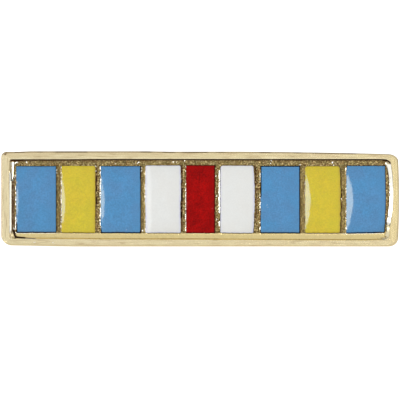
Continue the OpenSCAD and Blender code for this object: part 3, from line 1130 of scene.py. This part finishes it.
# The dish is a parabola across the pocket, so that the light's reflection ends in an arc
across = worked("DIVIDE", place.outputs["X"], half_x)
below_middle = worked("ADD", place.outputs["Y"], given["Dish Drop"])
lengthwise = worked("DIVIDE", below_middle, half_y)
hollow_x = worked("SUBTRACT", 1.0, worked("MULTIPLY", across, across))
to_end = worked("MULTIPLY", lengthwise, lengthwise)
shallower = worked("MULTIPLY_ADD", to_end, given["Dish Rounding"], 1.0)
hollow = worked("DIVIDE", hollow_x, shallower)
sunk_by = worked("MULTIPLY", hollow, given["Dish Depth"])
sag = add_node(fill_tree, "ShaderNodeCombineXYZ", {"Z": worked("MULTIPLY", sunk_by, -1.0)})
dished = add_node(
    fill_tree, "GeometryNodeSetPosition",
    {"Geometry": raised.outputs["Mesh"], "Selection": raised.outputs["Top"], "Offset": sag.outputs[0]},
)
underside = add_node(fill_tree, "GeometryNodeFlipFaces", {"Mesh": rounded_plan.outputs[0]})
closed = add_node(fill_tree, "GeometryNodeJoinGeometry")
for shell in (underside, dished):
    fill_tree.links.new(shell.outputs[0], closed.inputs[0])
WELD_MM = 0.0005
welded = add_node(
    fill_tree, "GeometryNodeMergeByDistance", {"Geometry": closed.outputs[0], "Distance": WELD_MM},
)
whole = add_node(fill_tree, "GeometryNodeRealizeInstances", {"Geometry": welded.outputs[0]})
finished = add_node(
    fill_tree, "GeometryNodeSetMaterial", {"Geometry": whole.outputs[0], "Material": given["Enamel"]},
)
result = fill_tree.nodes.new("NodeGroupOutput")
fill_tree.links.new(finished.outputs[0], result.inputs["Mesh"])

# Each enamel's base colour, a second shade of it, the colour of the painted shade at its edges, and its
# specular level and tint
ENAMELS = {
    "blue": ((0.066, 0.249, 0.512), (0.053, 0.253, 0.520), (0.040, 0.130, 0.240), 0.75, (1, 0.94, 0.70)),
    "yellow": ((0.675, 0.550, 0.0055), (0.690, 0.525, 0.006), (0.430, 0.270, 0.020), 0.80, (0.31, 0.50, 1)),
    "white": ((0.790, 0.792, 0.765), (0.785, 0.795, 0.775), (0.620, 0.620, 0.740), 0.20, WHITE),
    "red": ((0.304, 0.0014, 0.0013), (0.342, 0.0018, 0.0016), (0.120, 0.002, 0.002), 0.08, WHITE),
}
# How bright the paste is on average, and how much lighter and darker it gets from place to place
TONE = 0.975
MOTTLING = {"blue": 0.14, "yellow": 0.11, "white": 0.024, "red": 0.34}
# How far painted shade deepens the paste towards its right side and its ends, and how much of its colour
# it keeps there; the same for a painted glint, and the white that the glint adds
PAINTED_SHADE_RIGHT = 0.30
PAINTED_SHADE_ENDS = 0.15
PAINTED_SHADE_KEEPS = 0.90
GLINT_KEEPS = 0.45
GLINT_ADDS = 0.4
# Height of the ripple in the glaze, in metres
RIPPLE_M = 0.000003


def enamel_paste(shade):
    """The material of one colour of enamel."""
    base, second, painted_edge_shade, shine, gloss_tint = ENAMELS[shade]
    enamel, glass = blank_material(shade + " enamel")
    paste_at = face_mapping(glass)
    clouds = speckle(glass, paste_at, 2.6, 4)
    fine = speckle(glass, paste_at, 16, 2)
    mottled = maths(glass, "MULTIPLY_ADD", fine, 0.65, maths(glass, "MULTIPLY", clouds, 0.35))
    second_at = mask(glass, speckle(glass, paste_at, 1.3, 2), 0.4, 0.6)
    tint = blend(glass, second_at, (*base, 1), (*second, 1))
    shaded = rescaled(glass, mottled, 0.36, 0.64, TONE - MOTTLING[shade], TONE + MOTTLING[shade])
    tint = add_node(glass, "ShaderNodeVectorMath", {0: tint, 1: shaded}, operation="MULTIPLY").outputs[0]
    # The tint gives way to painted shade towards the right side and ends, to painted shade along the edges,
    # and to painted glints
    for name, colour in (
        ("painted_side_shade", [PAINTED_SHADE_KEEPS * part for part in base]), ("fringe", painted_edge_shade),
        ("glint", [GLINT_KEEPS * part + GLINT_ADDS for part in base]),
    ):
        amount = add_node(glass, "ShaderNodeAttribute", attribute_name=name).outputs["Fac"]
        tint = blend(glass, amount, tint, (*colour, 1))
    ripple = speckle(glass, paste_at, 3, 1)
    waves = add_node(glass, "ShaderNodeBump", {"Height": ripple, "Strength": 0.5, "Distance": RIPPLE_M})
    finish_with(glass, {
        "Base Color": tint, "Roughness": 0.05, "IOR": 1.5, "Specular IOR Level": shine,
        "Specular Tint": (*gloss_tint, 1), "Normal": waves.outputs[0],
    })
    return enamel


enamels = {shade: enamel_paste(shade) for shade in ENAMELS}

# Width and strength of the fringe of painted shade along the left, right, lower and upper side of each
# enamel
FRINGES = {
    "blue": ((0.03, 0.4), (0.05, 0.6), (0.05, 0.7), (0.06, 0.3)),
    "yellow": ((0.03, 0.3), (0.12, 0.5), (0.05, 0.7), (0.04, 0.2)),
    "white": ((0.12, 0.8), (0.12, 0.8), (0.06, 0.9), (0.05, 0.6)),
    "red": ((0.03, 0.5), (0.05, 0.9), (0.05, 0.8), (0.04, 0.5)),
}
# Stretches where a fill shrank further from its pocket, by pocket: side (0 left, 1 right), from, to, extra
# gap; and the extra gap along the whole upper side
SHRUNK = {
    0: ((0, -1.42, -0.92, 0.050),),
    2: ((0, -1.42, -1.10, 0.035), (1, -1.42, -1.22, 0.030), (1, 0.7, 1.42, 0.015)),
    5: ((0, -1.42, 1.42, 0.016),),
    6: ((0, 0.0, 1.42, 0.040), (0, -1.42, -0.3, 0.012), (1, -1.42, 1.42, 0.012)),
    8: ((0, 1.12, 1.42, 0.030),),
}
SHRUNK_ABOVE = {6: 0.022}
SHRUNK_EASE = 0.15
# How far into a fill the shifts of its sides are felt
FILL_REACH = 0.6
# A stretch that comes this near to the pocket's ends runs on round them
SHRUNK_ENDS = 1.3
# Single painted glints in the paste, where tiny bubbles catch the light, by pocket: place on the face and
# strength
PAINTED_GLINTS = {
    2: ((-3.09, -1.31, 0.5),), 4: ((0.50, -0.40, 0.2),),
    6: ((2.61, 1.12, 0.6), (2.80, -0.27, 0.7), (2.85, -0.36, 0.4), (2.57, -0.47, 0.35)),
}


def fill_from_tree(piece, sizes, enamel):
    """The mesh that the tree makes for one fill."""
    maker = piece.modifiers.new("fill", "NODES")
    maker.node_group = fill_tree
    for socket in fill_tree.interface.items_tree:
        if socket.name in sizes:
            maker[socket.identifier] = float(sizes[socket.name])
        elif socket.name == "Enamel":
            maker[socket.identifier] = enamel
    made = bpy.data.meshes.new_from_object(piece.evaluated_get(bpy.context.evaluated_depsgraph_get()))
    piece.modifiers.remove(maker)
    return made


def shrunk(index, fill_x, fill_y):
    """Points of one fill, drawn in along the stretches where it shrank further from its pocket."""
    left, right = pockets[index]
    for side, start_at, end_at, extra in SHRUNK.get(index, ()):
        to_side = fill_x - left if side == 0 else right - fill_x
        share = 1 - step_up(to_side, 0, FILL_REACH)
        if start_at > -SHRUNK_ENDS:
            share = share * step_up(fill_y, start_at, start_at + SHRUNK_EASE)
        if end_at < SHRUNK_ENDS:
            share = share * step_down(fill_y, end_at - SHRUNK_EASE, end_at)
        fill_x = fill_x + (1 - 2 * side) * extra * share
    return fill_x, fill_y - SHRUNK_ABOVE.get(index, 0) * step_up(fill_y, 0.8, half_pocket)


def fringe_of(index, shade, fill_x, fill_y):
    """How much painted shade darkens the paste at each point, near the four sides of its pocket."""
    left, right = pockets[index]
    fringe = np.zeros(len(fill_x))
    to_sides = (fill_x - left, right - fill_x, fill_y + half_pocket, half_pocket - fill_y)
    for k, (to_side, gap, (width, strength)) in enumerate(zip(to_sides, HAIRLINES[shade], FRINGES[shade])):
        broken = 1 + 0.5 * blotches(fill_x, fill_y, 0.09, 200 + k)
        fringe = np.maximum(fringe, strength * broken * step_up(gap + width - to_side, 0, width))
    return fringe


for index, (name, (low, high), (left, right)) in enumerate(zip(names, fills, pockets)):
    number, shade = name.split("_")[1:]
    depth, rounding, drop = DISH[name]
    gap_left, gap_right, gap_below, gap_above = HAIRLINES[shade]
    base_z = low[2]
    piece = in_scene("fill_" + number + "_" + shade, bpy.data.meshes.new("fill"))
    made = fill_from_tree(piece, {
        "Width": right - left - gap_left - gap_right, "Height": POCKET_H - gap_below - gap_above,
        "Thickness": ground_z - LIP - base_z, "Corner": FILL_CORNER,
        "Dish Depth": depth, "Dish Rounding": rounding, "Dish Drop": drop,
    }, enamels[shade])
    # The fill takes up the unevenness of its pocket
    points = np.empty(3 * len(made.vertices))
    made.vertices.foreach_get("co", points)
    points = points.reshape(-1, 3)
    fill_x = points[:, 0] + (left + gap_left + right - gap_right) / 2
    fill_y = points[:, 1] + (gap_below - gap_above) / 2
    fill_x, fill_y = shrunk(index, fill_x, fill_y)
    points[:, 0], points[:, 1] = slipped(fill_x, fill_y, ragged_reach=0.05, bend_reach=FILL_REACH)
    points[:, 2] += base_z
    made.vertices.foreach_set("co", points.ravel())
    # Painted shade deepens the paste towards its right side and its ends
    painted_side_shade = PAINTED_SHADE_RIGHT * step_up(fill_x, (left + right) / 2, right)
    painted_side_shade += PAINTED_SHADE_ENDS * step_up(np.abs(fill_y), 1.1, half_pocket)
    # Painted glints at single points of the paste
    glints = np.zeros(len(points))
    for glint_x, glint_y, strength in PAINTED_GLINTS.get(index, ()):
        apart = np.hypot(points[:, 0] - glint_x, points[:, 1] - glint_y)
        glints[apart.argmin()] = strength
    # Painted shade darkens the paste along its pocket's sides
    fringe = fringe_of(index, shade, fill_x, fill_y)
    for label, shares in (("fringe", fringe), ("painted_side_shade", painted_side_shade), ("glint", glints)):
        made.attributes.new(label, "FLOAT", "POINT").data.foreach_set("value", np.clip(shares, 0, 1))
    made.shade_smooth()
    made.set_sharp_from_angle(angle=math.radians(50))
    made.transform(leaned)
    made.name = piece.name
    piece.data = made
    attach(piece, "root")
    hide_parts(name)

# Post
# A brass pin turned in a lathe: a round pad, a plain shank, a groove where a clutch grips, and a point.
# The pad is soldered into its seat, and the solder shows as a thin fillet round it.
POST_R = mounts["post"]["dims"]["r_mm"]
pad_r, _, pad_front = post_high
tip_z = post_low[2]
PAD_BACK = -0.15
PAD_ROUND = 0.05
SOLDER = 0.09
SOLDER_TOP = 0.01
NECK = 0.12
GROOVE_AT, GROOVE_W, GROOVE_D = -5.6, 0.6, 0.17
GROOVE_ROUND = 0.05
GROOVE_LIP = 0.012
LIP_STARTS = 0.03
SHANK_START = -0.6
SHANK_END = -7.2
# The edge between the shank and its point, as radius lost and height over the shank's end
POINT_EASE = ((0, 0.15), (0.006, 0.03), (0.03, -0.05))
TIP_R = 0.1
SHANK_RINGS = 12
TURNED_SIDES = 96


def arc(centre, radius, start_angle, end_angle, count):
    """Points on an arc in the plane of radius and height."""
    angles = [math.radians(start_angle + (end_angle - start_angle) * k / count) for k in range(count + 1)]
    return [(centre[0] + radius * math.cos(a), centre[1] + radius * math.sin(a)) for a in angles]


groove_r = POST_R - GROOVE_D + GROOVE_ROUND
groove_end = GROOVE_AT - GROOVE_W
profile = [(pad_r, pad_front), (pad_r, SOLDER_TOP)]
profile += arc((pad_r + SOLDER, -SOLDER), SOLDER, 90, 180, 5)
profile = [p for p in profile if p[1] > PAD_BACK + PAD_ROUND]
profile += arc((pad_r - PAD_ROUND, PAD_BACK + PAD_ROUND), PAD_ROUND, 0, -90, 5)
profile += arc((POST_R + NECK, PAD_BACK - NECK), NECK, 90, 180, 6)
profile += [(POST_R, z) for z in np.linspace(SHANK_START, GROOVE_AT + LIP_STARTS, SHANK_RINGS)]
profile += [(POST_R - GROOVE_LIP, GROOVE_AT - GROOVE_LIP)]
profile += arc((groove_r, GROOVE_AT - GROOVE_D), GROOVE_ROUND, 130, 180, 3)
profile += arc((groove_r, groove_end + GROOVE_D), GROOVE_ROUND, 180, 230, 3)
profile += [(POST_R - GROOVE_LIP, groove_end + GROOVE_LIP), (POST_R, groove_end - LIP_STARTS)]
profile += [(POST_R - lost, SHANK_END + over) for lost, over in POINT_EASE]
profile += arc((0, tip_z + TIP_R), TIP_R, -25, -90, 5)[:-1]

turned = [(0, 0, pad_front)]
for r, z in profile:
    turned += circle(r, z, TURNED_SIDES)
turned.append((0, 0, tip_z))
tip = len(turned) - 1
last_ring = tip - TURNED_SIDES
skin = []
for k in range(TURNED_SIDES):
    following = (k + 1) % TURNED_SIDES
    skin.append((0, 1 + k, 1 + following))
    for row in range(1, last_ring, TURNED_SIDES):
        below = row + TURNED_SIDES
        skin.append((row + k, below + k, below + following, row + following))
    skin.append((tip, last_ring + following, last_ring + k))
post_mesh = bpy.data.meshes.new("turned_post")
post_mesh.from_pydata(turned, [], skin)
post_mesh.shade_smooth()
post_mesh.set_sharp_from_angle(angle=math.radians(40))
post_mesh.transform(leaned)
post = in_scene("turned_post", post_mesh)

# Height of the marks that the lathe left, in metres
TURNING_MARKS_M = 0.000006
turned_gilt, work = blank_material("turned gilt brass")
grooves = speckle(work, face_mapping(work, (0.4, 22, 0.4)), 1.4, 2)
rosy_at = mask(work, speckle(work, face_mapping(work), 1.6, 2), 0.38, 0.62)
marked = add_node(work, "ShaderNodeBump", {"Height": grooves, "Strength": 0.6, "Distance": TURNING_MARKS_M})
finish_with(work, {
    "Base Color": blend(work, rosy_at, GILT_ROSY, GILT), "Metallic": 1.0,
    "Roughness": maths(work, "MULTIPLY_ADD", grooves, 0.2, 0.12), "Normal": marked.outputs[0],
})
post_mesh.materials.append(turned_gilt)
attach(post, "root")
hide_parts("post")
